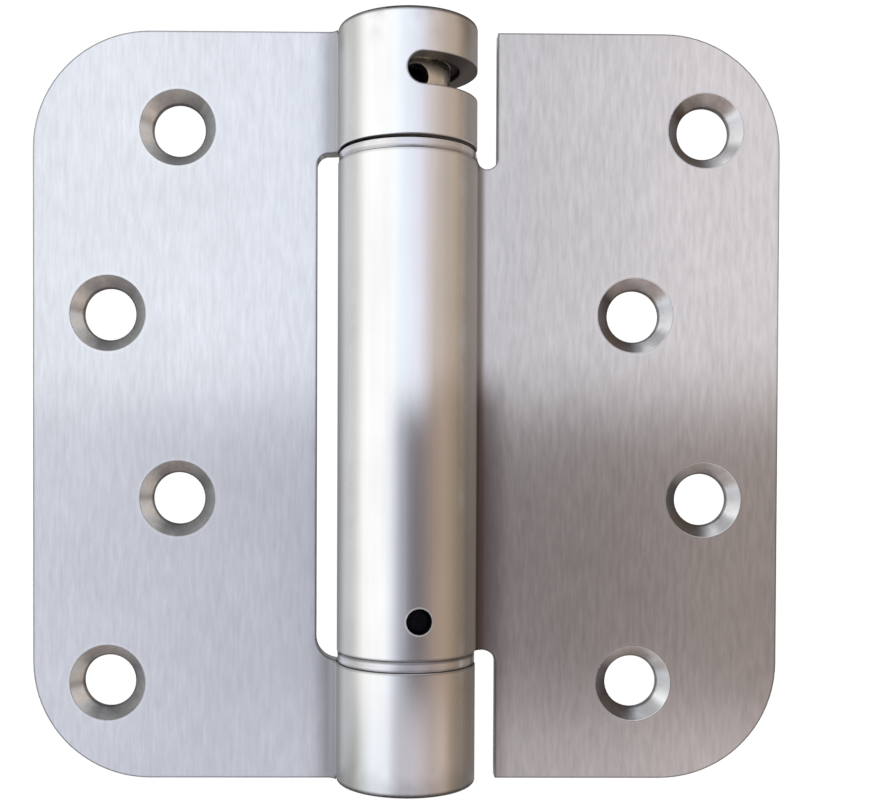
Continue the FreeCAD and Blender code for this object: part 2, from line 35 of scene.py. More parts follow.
# Camera, fitted to the outlines of the leaves and to the rings on the barrel
IMAGE_SIZE = (886, 804)
SENSOR_WIDTH = 36.0
CAMERA_PLACE = Vector((-4.55, -160.0, -6.22)) * MM
CAMERA_TURN = Euler((-0.0150, -0.0036, -0.0102))
FOCAL_PIXELS = 1177.6
IMAGE_CENTRE = (385.0, 470.0)
NEAREST_SEEN = 10.0 * MM

# Places on the object, read from the model
MOUNTS = {mount["name"]: mount for mount in frame["record"]["mounts"]}
LEAF_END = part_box("frame_leaf")[1].z
BARREL_RADIUS = -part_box("door_leaf")[0].y
HOLE_RADIUS = MOUNTS["frame_inner_screws"]["dims"]["hole_r_mm"] * MM
SLOT_LEVEL = MOUNTS["tension_rod_hole"]["pos_m"][2]
ROD_HOLE_RADIUS = MOUNTS["tension_rod_hole"]["dims"]["r_mm"] * MM
PIN_MIDDLE = (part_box("anchor_pin")[0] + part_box("anchor_pin")[1]) / 2
PIN_AZIMUTH = math.atan2(PIN_MIDDLE.x, -PIN_MIDDLE.y)
PIN_RADIUS = (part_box("anchor_pin")[1].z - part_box("anchor_pin")[0].z) / 2

# Sizes of the model that its record doesn't hold
COUNTERSINK_RADIUS = 5.15 * MM
SINK_TILT = 49 * DEGREE  # between the countersinks' walls and the sheet
NECK_RADIUS = 5.7 * MM
SHEET_IN_MM = 2.4

# Joints between the rings of the barrel: height, how dark the line there is and how far it reaches.
# The last one is the gap over the top washer, which shows the dark end of the top knuckle.
GROOVES = [
    (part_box("bottom_washer")[1].z, 0.70, 0.48 * MM),
    (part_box("bottom_washer")[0].z, 0.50, 0.48 * MM),
    (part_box("top_washer")[0].z, 0.30, 0.60 * MM),
    (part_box("top_washer")[1].z + 0.20 * MM, 0.35, 0.24 * MM),
]
GROOVE_CORE = 0.08 * MM
BESIDE_GROOVE = (0.95 * MM, 0.70 * MM)

# Rings round the axis, in millimetres out from the barrel's surface: where each starts and is full
BARREL_RING = (0.30, 0.04)
JOINT_RING = (0.6, 0.0)
WASHER_RING = (-1.2, -0.6)
END_LINE_RING = (-0.55, -0.35)
LIP_RING = (-0.05, -0.15)
LIP_LINE_RING = (-0.60, -0.25)
BORE_RING = (0.10 - SHEET_IN_MM, 0.02 - SHEET_IN_MM)
BEND_RING = (3.6, 0.2)
CREASE_RING = (1.6, 0.5)
SHADOW_RING = (5.5, 1.0)
OUTER_EDGE_RING = (1.5, 2.0)
LEANING_RING = (1.0, 4.0)

# Distances at which other places start and are full: from the axis, from the middle of a hole or slot,
# or along X, Y or Z
SIDE_SHADE_REACH = (12.0 * MM, 50.0 * MM)
SINK_EDGE = (COUNTERSINK_RADIUS + 0.03 * MM, COUNTERSINK_RADIUS - 0.05 * MM)
SINK_HIGHLIGHT_HALO = (COUNTERSINK_RADIUS + 0.55 * MM, COUNTERSINK_RADIUS + 0.15 * MM)
SINK_DEPTH = (COUNTERSINK_RADIUS, HOLE_RADIUS)
HOLE_RIM = (HOLE_RADIUS + 0.30 * MM, HOLE_RADIUS + 0.04 * MM)
PIN_RIM_HIGHLIGHT = (PIN_RADIUS + 0.34 * MM, PIN_RADIUS + 0.18 * MM)
PIN_WALL = (PIN_RADIUS + 0.10 * MM, PIN_RADIUS + 0.04 * MM)
FRONT_WALL = (-6.0 * MM, -6.5 * MM)
LOWER_HALF = (7.0 * MM, -1.0 * MM)
END_PATCH_REACH = (LEAF_END - 5.8 * MM, LEAF_END - 0.2 * MM)
END_LINE = (LEAF_END - 0.75 * MM, LEAF_END - 0.30 * MM)
SLOT_LIP_HEIGHT = (3.6 * MM, 3.2 * MM)
SLOT_LIP_SPAN = (2.5 * MM, 6.0 * MM)
ROD_HOLE_HEIGHT = (ROD_HOLE_RADIUS + 0.3 * MM, ROD_HOLE_RADIUS + 0.1 * MM)
ROD_HOLE_DEPTH = (NECK_RADIUS - 1.60 * MM, NECK_RADIUS - 2.60 * MM)
NECK_CORNER_EDGE = (NECK_RADIUS + 0.005 * MM, NECK_RADIUS + 0.04 * MM)
NECK_CORNER_SPAN = (2.0 * MM, 4.0 * MM)
NECK_CORNER_HEIGHT = (4.0 * MM, 3.5 * MM)

# Parts of the normal along X, Y or Z at which a face starts and fully is what the name says
FACES_FRONT = (0.3, 0.1)
FACES_OUT_OF_SINK = (-0.3, -0.5)
FACES_END = (0.78, 0.92)
FACES_OFF_END = (0.95, 0.85)
FACES_SIDE = (0.6, 0.8)
FACES_SIDE_OF_BARREL = (0.68, 0.93)
SINK_TOP = (0.45, 0.95)
SHARP_EDGE = (0.997, 0.87)
EDGE_REACH = 0.50 * MM

# Colours
WHITE = (1.0, 1.0, 1.0)
FLOOR_COLOUR = (0.97, 0.97, 0.97)
BARREL_COLOUR = (0.95, 0.95, 0.95)
CUT_COLOUR = (0.50, 0.49, 0.49)
LIP_LINE_SHADE = (0.12, 0.115, 0.115)
SLOT_LIP_SHADE_LEFT = (0.36, 0.345, 0.32)
SLOT_LIP_SHADE_RIGHT = (0.17, 0.155, 0.145)
BORE_SHADE = (0.04, 0.036, 0.033)
HOLE_RIM_SHADE = (0.12, 0.11, 0.105)
PIN_HIGHLIGHT_COLOUR = (1.0, 0.99, 1.0)
PIN_WALL_SHADE = (0.008, 0.008, 0.01)
EDGE_SHADE_COLOUR = (0.09, 0.085, 0.085)
JOINT_COLOUR = (0.03, 0.027, 0.03)
ROD_HOLE_SHADE = (0.006, 0.005, 0.008)
NECK_CORNER_SHADE = (0.03, 0.027, 0.025)
PIN_COLOUR = (0.004, 0.004, 0.006)
PLUG_COLOUR = (1.0, 0.94, 0.84)
WASHER_COLOUR = (0.82, 0.81, 0.83)
SPRING_COLOUR = (0.30, 0.29, 0.28)

# How far a layer's colour covers what lies under it
BEND_COVER = 0.75
HIGHLIGHT_HALO_COVER = 0.30
HOLE_RIM_COVER = 0.8
PIN_HIGHLIGHT_COVER = 0.12
EDGE_SHADE_COVER = 0.85

# Roughness, as a range where a noise varies it
SHEET_ROUGHNESS = (0.21, 0.28)
BARREL_ROUGHNESS = (0.13, 0.165)
BARREL_SIDE_ROUGHNESS = 0.36
SINK_ROUGHNESS = 0.19
CUT_ROUGHNESS = 0.45
BORE_ROUGHNESS = 0.85
PLUG_ROUGHNESS = (0.23, 0.33)
WASHER_ROUGHNESS = (0.19, 0.29)
SPRING_ROUGHNESS = (0.30, 0.40)
NECK_CORNER_ROUGHNESS = 0.95
PIN_ROUGHNESS = (0.6, 0.8)

# Relief of the brushing and of the turned rings
BUMP_DEPTH = 0.02 * MM
BRUSHED_BUMP = 0.08
TURNED_BUMP = 0.12
# Normal's height on the joints' chamfers, as a share of what it is
CHAMFER_HEIGHT = 0.15

# Stretched highlights: across the brushing, and less so across the turned rings
BRUSHED_ANISOTROPY = 1.0
TURNED_ANISOTROPY = 0.4
QUARTER_TURN = 0.25

# Painted shade on the barrel's sides, beside the bends, which are darker than its front: the normal's
# part along X at which each darkening starts and is full, and its share
BARREL_SIDE_SHADE = [(-0.60, -0.80, 0.15), (-0.86, -0.98, 0.40), (0.62, 0.87, 0.41)]
# How much darker the barrel is in patches near its ends
END_PATCH_DARKENING = 0.22

# Painted light and shade: how light a countersink is at its edge and at its hole, on its dark and on its
# lit side
DARK_DEPTH_TONE = (1.1, 0.72)
LIT_DEPTH_TONE = (1.1, 0.95)

# The hinge in the photograph is opened a little past flat, which shows in what its leaves reflect.
# This model lies flat, and only its shading leans sideways: by this slope on the sheets, and this
# many times more in the countersinks.
LEAN = math.tan(7 * DEGREE)
SINK_LEAN = 3.2

# What differs between the leaves. The side shade is painted shade: how light the sheet is beside the
# barrel and at its outer edge. The bend's tones are painted shade, which tints the sheet beside the
# barrel's lower half and in the crease. The countersinks have a painted lit side, at an angle from +X
# towards +Z, a painted dark one and a top.
FRAME_LOOK = {
    # Painted reflection: the same steel as the door leaf, with a bluer tint here
    "sheet": (0.80, 0.815, 0.865),
    "stroke_contrast": 0.07,
    "side_tone": (1.0, 1.0),
    "lean": -LEAN,
    "bend": {
        "colour": (0.48, 0.48, 0.50),
        "roughness": 0.42,
        "lower_tone": (0.9, 0.9, 0.9),
        "crease_tone": WHITE,
    },
    "sinks": {
        "lit_angle": 164 * DEGREE,
        "lit_edge": (-0.05, 0.62),
        "lit": (1.0, 0.97, 0.90),
        "dark": (0.37, 0.375, 0.385),
        "top": (0.60, 0.58, 0.57),
    },
}
DOOR_LOOK = {
    # Painted reflection: the same steel as the frame leaf, with a warmer tint here
    "sheet": (0.87, 0.86, 0.84),
    "stroke_contrast": 0.10,
    "side_tone": (0.87, 1.08),
    "lean": LEAN,
    "bend": {
        "colour": (0.70, 0.64, 0.63),
        "roughness": 0.26,
        "lower_tone": (0.45, 0.39, 0.375),
        "crease_tone": (0.55, 0.58, 0.62),
    },
    "sinks": {
        "lit_angle": -10 * DEGREE,
        "lit_edge": (-0.02, 0.68),
        "lit": WHITE,
        "dark": (0.25, 0.24, 0.25),
        "top": (0.69, 0.62, 0.60),
    },
}

# Colour of the room that the metal reflects, at each azimuth: 0 behind the viewer, 90 on the door
# leaf's side. A wide window stands to the left, and the right side is a warm room.
UPPER_ROOM = [
    (-180, (0.56, 0.56, 0.56)),
    (-168, (0.42, 0.42, 0.42)),
    (-157, (0.24, 0.24, 0.235)),
    (-147, (0.36, 0.36, 0.35)),
    (-127, (0.55, 0.555, 0.54)),
    (-106, (0.58, 0.585, 0.55)),
    (-88, (0.74, 0.74, 0.71)),
    (-70, (1.02, 1.02, 1.01)),
    (-32, (1.03, 1.04, 1.04)),
    (-14, (0.87, 0.93, 1.0)),
    (6, (0.79, 0.82, 0.92)),
    (23, (0.70, 0.69, 0.77)),
    (41, (0.575, 0.50, 0.475)),
    (60, (0.475, 0.40, 0.35)),
    (81, (0.41, 0.33, 0.265)),
    (106, (0.30, 0.235, 0.18)),
    (133, (0.25, 0.19, 0.145)),
    (154, (0.21, 0.185, 0.17)),
    (166, (0.40, 0.39, 0.38)),
    (180, (0.56, 0.56, 0.56)),
]
# Below the viewer's eyes a dark thing stands before the hinge, a little to the right
LOWER_ROOM = [
    (-180, (0.54, 0.54, 0.54)),
    (-168, (0.38, 0.38, 0.38)),
    (-157, (0.18, 0.18, 0.18)),
    (-147, (0.22, 0.22, 0.22)),
    (-127, (0.49, 0.49, 0.49)),
    (-106, (0.56, 0.57, 0.54)),
    (-88, (0.75, 0.75, 0.72)),
    (-68, (1.02, 1.02, 1.01)),
    (-44, (1.02, 1.03, 1.04)),
    (-29, (0.84, 0.87, 0.95)),
    (-13, (0.43, 0.44, 0.50)),
    (5, (0.20, 0.195, 0.22)),
    (21, (0.172, 0.148, 0.152)),
    (29, (0.235, 0.19, 0.183)),
    (40, (0.285, 0.22, 0.19)),
    (60, (0.37, 0.28, 0.215)),
    (81, (0.29, 0.225, 0.16)),
    (106, (0.19, 0.142, 0.105)),
    (133, (0.14, 0.11, 0.09)),
    (152, (0.14, 0.125, 0.115)),
    (165, (0.36, 0.35, 0.34)),
    (180, (0.54, 0.54, 0.54)),
]
# Low down the dark thing ends and the ground shows
LOWEST_ROOM = [
    (-180, (0.55, 0.55, 0.55)),
    (-150, (0.50, 0.50, 0.50)),
    (-127, (0.33, 0.325, 0.32)),
    (-106, (0.34, 0.335, 0.33)),
    (-88, (0.48, 0.48, 0.47)),
    (-66, (0.82, 0.85, 0.88)),
    (-47, (0.90, 0.93, 0.98)),
    (-29, (0.77, 0.80, 0.87)),
    (-12, (0.50, 0.49, 0.53)),
    (8, (0.55, 0.53, 0.57)),
    (24, (0.57, 0.51, 0.53)),
    (41, (0.43, 0.365, 0.35)),
    (60, (0.57, 0.465, 0.405)),
    (81, (0.30, 0.235, 0.18)),
    (106, (0.30, 0.26, 0.23)),
    (133, (0.42, 0.39, 0.37)),
    (155, (0.50, 0.48, 0.47)),
    (180, (0.55, 0.55, 0.55)),
]
CEILING = (0.36, 0.36, 0.37)
GROUND = (0.38, 0.34, 0.32)
LIGHT_STRENGTH = 1.05

# Where each part of the room starts and is full, as the upward part of a direction of length 1. On the
# right, between two azimuths in radians, the lower room comes to reach a little higher.
LOWER_FADE = (0.066, 0.014)
LOWEST_FADE = (-0.175, -0.245)
CEILING_FADE = (0.55, 0.90)
GROUND_FADE = (-0.50, -0.85)
RIGHT_FADE = (0.4, 1.1)
RIGHT_RISE = 0.022


class Nodes:
    """Node tree of a material or world, built with one short call for each node."""

    def __init__(self, owner):
        owner.use_nodes = True
        self.tree = owner.node_tree
        self.tree.nodes.clear()

    def add(self, kind, inputs=None, **settings):
        node = self.tree.nodes.new("ShaderNode" + kind)
        for name, value in settings.items():
            setattr(node, name, value)
        for key, value in (inputs or {}).items():
            self.feed(node.inputs[key], value)
        return node

    def feed(self, socket, value):
        if isinstance(value, bpy.types.NodeSocket):
            self.tree.links.new(value, socket)
        elif isinstance(value, tuple) and len(value) == 3 and socket.type == "RGBA":
            socket.default_value = (*value, 1.0)
        else:
            socket.default_value = value

    def math(self, operation, first, second=0.0):
        return self.add("Math", {0: first, 1: second}, operation=operation).outputs[0]

    def fold(self, operation, values):
        result = values[0]
        for value in values[1:]:
            result = self.math(operation, result, value)
        return result

    def product(self, *values):
        return self.fold("MULTIPLY", values)

    def total(self, *values):
        return self.fold("ADD", values)

    def largest(self, *values):
        return self.fold("MAXIMUM", values)

    def opposite(self, share):
        """What is left of 1."""
        return self.math("SUBTRACT", 1.0, share)

    def size(self, value):
        """Value without its sign."""
        return self.math("ABSOLUTE", value)

    def gap(self, first, second):
        """Distance between two numbers."""
        return self.size(self.math("SUBTRACT", first, second))

    def length(self, first, second):
        """Length of the hypotenuse over two sides."""
        return self.math("SQRT", self.total(self.product(first, first), self.product(second, second)))

    def step(self, value, low, high):
        """0 at low and 1 at high, with a soft change between them; low may be the larger."""
        inputs = {"Value": value, "From Min": low, "From Max": high}
        return self.add("MapRange", inputs, interpolation_type="SMOOTHSTEP").outputs[0]

    def spread(self, value, low, high):
        """Carries 0 to 1 over to low to high."""
        return self.add("MapRange", {"Value": value, "To Min": low, "To Max": high}).outputs[0]

    def contrast(self, noise, share):
        """Noise as a factor round 1 that reaches about share above and below it."""
        limits = {"From Min": 0.3, "From Max": 0.7, "To Min": 1 - share, "To Max": 1 + share}
        return self.add("MapRange", {"Value": noise, **limits}, clamp=False).outputs[0]

    def choose(self, factor, first, second):
        """Number between two numbers."""
        return self.add("Mix", {0: factor, 2: first, 3: second}).outputs[0]

    def turn(self, factor, first, second):
        """Vector between two vectors."""
        return self.add("Mix", {0: factor, 4: first, 5: second}, data_type="VECTOR").outputs[1]

    def mix(self, factor, first, second):
        """Colour between two colours."""
        return self.add("Mix", {0: factor, 6: first, 7: second}, data_type="RGBA").outputs[2]

    def parts(self, vector):
        """X, Y and Z of a vector."""
        outputs = self.add("SeparateXYZ", {0: vector}).outputs
        return outputs[0], outputs[1], outputs[2]

    def vector(self, x, y, z):
        return self.add("CombineXYZ", {0: x, 1: y, 2: z}).outputs[0]

    def vectors(self, operation, first, second):
        return self.add("VectorMath", {0: first, 1: second}, operation=operation).outputs[0]

    def shade(self, colour, factor):
        """Colour made lighter or darker by a number."""
        return self.add("VectorMath", {0: colour, "Scale": factor}, operation="SCALE").outputs[0]

    def tint(self, colour, factors):
        """Colour with its red, green and blue each made lighter or darker."""
        return self.vectors("MULTIPLY", colour, factors)

    def noise(self, place, scale, stretch=(1, 1, 1), detail=2.0, gain=0.5):
        drawn_out = self.vectors("MULTIPLY", place, stretch)
        inputs = {"Vector": drawn_out, "Scale": scale, "Detail": detail, "Roughness": gain}
        return self.add("TexNoise", inputs).outputs[0]

    def ramp(self, factor, stops):
        node = self.add("ValToRGB", {0: factor})
        elements = node.color_ramp.elements
        node.color_ramp.interpolation = "CARDINAL"
        while len(elements) < len(stops):
            elements.new(1.0)
        for element, (position, colour) in zip(elements, stops):
            element.position = position
            element.color = (*colour, 1.0)
        return node.outputs[0]


# Light, floor and camera

def make_world():
    """White surroundings, and a room with a window for what the metal reflects."""
    world = bpy.data.worlds.new("studio")
    bpy.context.scene.world = world
    nodes = Nodes(world)
    x, y, upward = nodes.parts(nodes.add("TexCoord").outputs["Generated"])
    azimuth = nodes.math("ARCTAN2", x, nodes.math("MULTIPLY", y, -1.0))
    turn_share = nodes.math("ADD", nodes.math("DIVIDE", azimuth, 2 * math.pi), 0.5)

    def around(room):
        return nodes.ramp(turn_share, [(angle / 360 + 0.5, colour) for angle, colour in room])

    rise = nodes.product(nodes.step(azimuth, *RIGHT_FADE), RIGHT_RISE)
    level = nodes.math("SUBTRACT", upward, rise)
    room = nodes.mix(nodes.step(level, *LOWER_FADE), around(UPPER_ROOM), around(LOWER_ROOM))
    room = nodes.mix(nodes.step(upward, *LOWEST_FADE), room, around(LOWEST_ROOM))
    room = nodes.mix(nodes.step(upward, *CEILING_FADE), room, CEILING)
    room = nodes.mix(nodes.step(upward, *GROUND_FADE), room, GROUND)
    reflected = nodes.add("Background", {"Color": room, "Strength": LIGHT_STRENGTH}).outputs[0]
    white = nodes.add("Background", {"Color": WHITE, "Strength": LIGHT_STRENGTH}).outputs[0]
    in_metal = nodes.add("LightPath").outputs["Is Glossy Ray"]
    surroundings = nodes.add("MixShader", {0: in_metal, 1: white, 2: reflected}).outputs[0]
    nodes.add("OutputWorld", {"Surface": surroundings})


def make_floor():
    """Plain pale floor, well below the hinge."""
    half = 3.0
    level = -0.30
    corners = [(-half, -half, level), (half, -half, level), (half, half, level), (-half, half, level)]
    mesh = bpy.data.meshes.new("floor")
    mesh.from_pydata(corners, [], [(0, 1, 2, 3)])
    floor = bpy.data.objects.new("floor", mesh)
    bpy.context.scene.collection.objects.link(floor)
    floor.visible_glossy = False
    material = bpy.data.materials.new("pale_floor")
    nodes = Nodes(material)
    surface = nodes.add("BsdfDiffuse", {"Color": FLOOR_COLOUR}).outputs[0]
    nodes.add("OutputMaterial", {"Surface": surface})
    mesh.materials.append(material)


def make_camera():
    width, height = IMAGE_SIZE
    data = bpy.data.cameras.new("camera")
    data.sensor_width = SENSOR_WIDTH
    data.lens = SENSOR_WIDTH * FOCAL_PIXELS / width
    data.shift_x = (width / 2 - IMAGE_CENTRE[0]) / width
    data.shift_y = (IMAGE_CENTRE[1] - height / 2) / width
    data.clip_start = NEAREST_SEEN
    camera = bpy.data.objects.new("camera", data)
    look_along_y = Matrix.Rotation(math.pi / 2, 3, "X")
    camera.rotation_euler = (CAMERA_TURN.to_matrix() @ look_along_y).to_euler()
    camera.location = CAMERA_PLACE
    bpy.context.scene.collection.objects.link(camera)
    bpy.context.scene.camera = camera


# Materials

def screw_hole_places(patterns):
    """Centres (x, z) of the screw holes of the named bolt patterns."""
    places = []
    for name in patterns:
        x, _, z = MOUNTS[name]["pos_m"]
        half_spacing = MOUNTS[name]["dims"]["spacing_y_mm"] * MM / 2
        places += [(x, z + half_spacing), (x, z - half_spacing)]
    return places


class Steel(Nodes):
    """Material of a steel piece, with the places and directions by which it is painted."""

    def __init__(self, name):
        self.material = bpy.data.materials.new(name)
        super().__init__(self.material)
        coordinates = self.add("TexCoord").outputs
        self.place = coordinates["Object"]
        self.x, self.y, self.z = self.parts(self.place)
        self.radius = self.length(self.x, self.y)
        self.normal = coordinates["Normal"]
        self.facing = self.parts(self.normal)

    def outside(self, start, full):
        """0 at start and 1 at full, in millimetres out from the barrel's surface."""
        return self.step(self.radius, BARREL_RADIUS + start * MM, BARREL_RADIUS + full * MM)

    def groove_lines(self):
        """How dark the joints between the rings of the barrel are, and 1 close to any of them."""
        lines = 0.0
        close = 0.0
        for level, darkness, reach in GROOVES:
            distance = self.gap(self.z, level)
            lines = self.largest(lines, self.product(self.step(distance, reach, GROOVE_CORE), darkness))
            close = self.largest(close, self.step(distance, *BESIDE_GROOVE))
        return lines, close

    def world_normal(self, normal, at_chamfer):
        """World normal, laid level on the joints' small chamfers, which shade as the barrel does."""
        level = self.vector(1.0, 1.0, self.spread(at_chamfer, 1.0, CHAMFER_HEIGHT))
        inputs = {0: self.vectors("MULTIPLY", normal, level)}
        settings = {"vector_type": "NORMAL", "convert_from": "OBJECT", "convert_to": "WORLD"}
        return self.add("VectorTransform", inputs, **settings).outputs[0]

    def bump(self, strength, height, normal):
        inputs = {"Strength": strength, "Distance": BUMP_DEPTH, "Height": height, "Normal": normal}
        return self.add("Bump", inputs).outputs["Normal"]

    def finish(self, colour, roughness, metallic, anisotropy, tangent, normal):
        inputs = {
            "Base Color": colour,
            "Metallic": metallic,
            "Roughness": roughness,
            "Anisotropic": anisotropy,
            "Anisotropic Rotation": QUARTER_TURN,
            "Normal": normal,
            "Tangent": tangent,
        }
        shader = self.add("BsdfPrincipled", inputs).outputs[0]
        self.add("OutputMaterial", {"Surface": shader})


class LeafSteel(Steel):
    """Satin plated sheet: brushed along the axis, smoother on the barrel, turned in the countersinks."""

    def __init__(self, name, look, patterns):
        super().__init__(name)
        self.look = look
        self.on_barrel = self.outside(*BARREL_RING)
        self.in_front = self.step(self.facing[1], *FACES_FRONT)
        self.beside_barrel = self.product(self.opposite(self.on_barrel), self.in_front)
        self.in_bend = self.product(self.outside(*BEND_RING), self.beside_barrel)

        # Brushing: short uneven strokes, and clouds that make them come and go
        self.strokes = self.noise(self.place, scale=1500, stretch=(1, 1, 0.17), detail=4.0, gain=0.6)
        self.scratches = self.noise(self.place, scale=2600, stretch=(1, 1, 0.16), detail=2.0)
        self.clouds = self.noise(self.place, scale=90, stretch=(1, 1, 0.7), detail=3.0)
        self.bands = self.noise(self.place, scale=430, stretch=(1, 1, 0.05), detail=2.0)

        # Cut faces: the ends of the knuckles, the sheet's edges and the lips of the slot
        self.end_face = self.step(self.size(self.facing[2]), *FACES_END)
        faces_side = self.step(self.size(self.facing[0]), *FACES_SIDE)
        outer_edge = self.product(faces_side, self.outside(*OUTER_EDGE_RING))
        self.lip = self.outside(*LIP_RING)
        self.cut = self.largest(self.end_face, outer_edge, self.lip)
        self.bore = self.outside(*BORE_RING)

        self.find_sinks(patterns)
        self.find_pin_hole()
        lines, close = self.groove_lines()
        self.joints = self.product(lines, self.outside(*JOINT_RING))
        self.at_joint = self.product(close, self.on_barrel)

        colour = self.mix(self.on_barrel, self.sheet_colour(), self.barrel_colour())
        colour = self.bend_over(colour)
        colour = self.cut_faces_over(colour)
        colour = self.sinks_over(colour)
        colour = self.pin_hole_over(colour)
        colour = self.lines_over(colour)
        around_hole = self.vector(self.product(self.side[2], -1.0), 0.0, self.side[0])
        tangent = self.turn(self.in_sink, self.vector(0.02, 0.01, 1.0), around_hole)
        height = self.choose(self.on_barrel, self.strokes, self.product(self.bands, 0.5))
        normal = self.bump(BRUSHED_BUMP, height, self.leaning_normal())
        # Painted shade: the bore is dull and not metallic
        metallic = self.opposite(self.bore)
        self.finish(colour, self.roughness(), metallic, BRUSHED_ANISOTROPY, tangent, normal)

    def find_sinks(self, patterns):
        """Where the countersinks are, how deep in them a point is and on which side of its hole."""
        self.in_sink = 0.0
        self.in_rim = 0.0
        self.highlight_halo = 0.0
        self.depth = 0.0
        outward = self.vector(1.0, 0.0, 0.0)
        for x, z in screw_hole_places(patterns):
            across = self.math("SUBTRACT", self.x, x)
            upward = self.math("SUBTRACT", self.z, z)
            distance = self.length(across, upward)
            here = self.product(self.step(distance, *SINK_EDGE), self.in_front)
            self.in_sink = self.largest(self.in_sink, here)
            self.in_rim = self.largest(self.in_rim, self.step(distance, *HOLE_RIM))
            self.highlight_halo = self.largest(self.highlight_halo, self.step(distance, *SINK_HIGHLIGHT_HALO))
            self.depth = self.largest(self.depth, self.step(distance, *SINK_DEPTH))
            outward = self.turn(here, outward, self.vector(across, 0.0, upward))
        outward = self.add("VectorMath", {0: outward}, operation="NORMALIZE").outputs[0]
        self.side = self.parts(outward)

    def find_pin_hole(self):
        """Wall of the anchor pin's hole, and the ring round its mouth, where a highlight is painted."""
        sideways = self.total(
            self.product(self.x, math.cos(PIN_AZIMUTH)),
            self.product(self.y, math.sin(PIN_AZIMUTH)),
        )
        distance = self.length(sideways, self.math("SUBTRACT", self.z, PIN_MIDDLE.z))
        in_front_wall = self.step(self.y, *FRONT_WALL)
        self.pin_rim_highlight = self.product(in_front_wall, self.step(distance, *PIN_RIM_HIGHLIGHT))
        self.pin_wall = self.product(in_front_wall, self.step(distance, *PIN_WALL))

    def sheet_colour(self):
        strokes = self.contrast(self.strokes, self.look["stroke_contrast"])
        clouds = self.contrast(self.clouds, share=0.035)
        # Painted shade: darker beside the barrel, lighter towards the outer edge
        side_tone = self.spread(self.step(self.radius, *SIDE_SHADE_REACH), *self.look["side_tone"])
        return self.shade(self.look["sheet"], self.product(strokes, clouds, side_tone))

    def barrel_colour(self):
        """Plating of the barrel, with painted shade at its sides, and darker in patches near its ends."""
        bands = self.contrast(self.bands, share=0.045)
        clouds = self.contrast(self.clouds, share=0.04)
        # Darker in patches near the ends
        near_end = self.step(self.size(self.z), *END_PATCH_REACH)
        end_patches = self.step(self.noise(self.place, scale=170, detail=3.0), 0.42, 0.66)
        shade_and_patches = self.product(near_end, end_patches, END_PATCH_DARKENING)
        # Painted shade on the barrel's sides
        for start, full, share in BARREL_SIDE_SHADE:
            shade_and_patches = self.total(shade_and_patches, self.product(self.step(self.facing[0], start, full), share))
        return self.shade(BARREL_COLOUR, self.product(bands, clouds, self.opposite(shade_and_patches)))

    def bend_over(self, colour):
        """Painted shade: the sheet darkens towards its bend beside the barrel, in its crease and beside
        the barrel's lower half.
        """
        bend = self.look["bend"]
        colour = self.mix(self.product(self.in_bend, BEND_COVER), colour, bend["colour"])
        in_lower_half = self.step(self.z, *LOWER_HALF)
        shadow = self.product(self.outside(*SHADOW_RING), in_lower_half, self.beside_barrel)
        colour = self.mix(shadow, colour, self.tint(colour, bend["lower_tone"]))
        crease = self.product(self.outside(*CREASE_RING), self.beside_barrel)
        return self.mix(crease, colour, self.tint(colour, bend["crease_tone"]))

    def cut_faces_over(self, colour):
        """Cut faces are greyer, with painted shade in a dark line at a lip and on the slot's lips, and a
        black painted-shade bore.
        """
        grain = self.noise(self.place, scale=1800, detail=3.0)
        cut_colour = self.shade(CUT_COLOUR, self.contrast(grain, share=0.12))
        # Painted shade: a dark line at the lip's inner edge, and darker slot lips, darkest to the right
        lip_line = self.product(self.lip, self.outside(*LIP_LINE_RING))
        cut_colour = self.mix(lip_line, cut_colour, LIP_LINE_SHADE)
        by_slot = self.step(self.gap(self.z, SLOT_LEVEL), *SLOT_LIP_HEIGHT)
        to_the_right = self.step(self.x, *SLOT_LIP_SPAN)
        slot_lip_shade = self.mix(to_the_right, SLOT_LIP_SHADE_LEFT, SLOT_LIP_SHADE_RIGHT)
        cut_colour = self.mix(self.product(self.lip, by_slot), cut_colour, slot_lip_shade)
        colour = self.mix(self.cut, colour, cut_colour)
        return self.mix(self.bore, colour, BORE_SHADE)

    def sinks_over(self, colour):
        """Countersinks: turned, with painted light towards one side, painted shade with depth and a
        painted light rim.
        """
        sinks = self.look["sinks"]
        towards_light = self.total(
            self.product(self.side[0], math.cos(sinks["lit_angle"])),
            self.product(self.side[2], math.sin(sinks["lit_angle"])),
        )
        lit = self.step(towards_light, *sinks["lit_edge"])
        # Painted highlight on the lit side, and painted shade on the dark side
        sink_colour = self.mix(lit, sinks["dark"], sinks["lit"])
        sink_colour = self.mix(self.step(self.side[2], *SINK_TOP), sink_colour, sinks["top"])
        dark_tone = self.spread(self.depth, *DARK_DEPTH_TONE)
        lit_tone = self.spread(self.depth, *LIT_DEPTH_TONE)
        grooves = self.contrast(self.noise(self.place, scale=1300, detail=3.0), share=0.10)
        turned = self.shade(sink_colour, self.product(grooves, self.choose(lit, dark_tone, lit_tone)))
        # Painted highlight in a light rim round each countersink, and painted shade in a dark rim at its
        # hole
        colour = self.mix(self.product(self.highlight_halo, self.in_front, HIGHLIGHT_HALO_COVER), colour, WHITE)
        colour = self.mix(self.in_sink, colour, turned)
        return self.mix(self.product(self.in_rim, self.in_front, HOLE_RIM_COVER), colour, HOLE_RIM_SHADE)

    def pin_hole_over(self, colour):
        """Painted highlight on a ring round the pin's hole, and painted shade on its black wall."""
        colour = self.mix(self.product(self.pin_rim_highlight, PIN_HIGHLIGHT_COVER), colour, PIN_HIGHLIGHT_COLOUR)
        return self.mix(self.pin_wall, colour, PIN_WALL_SHADE)

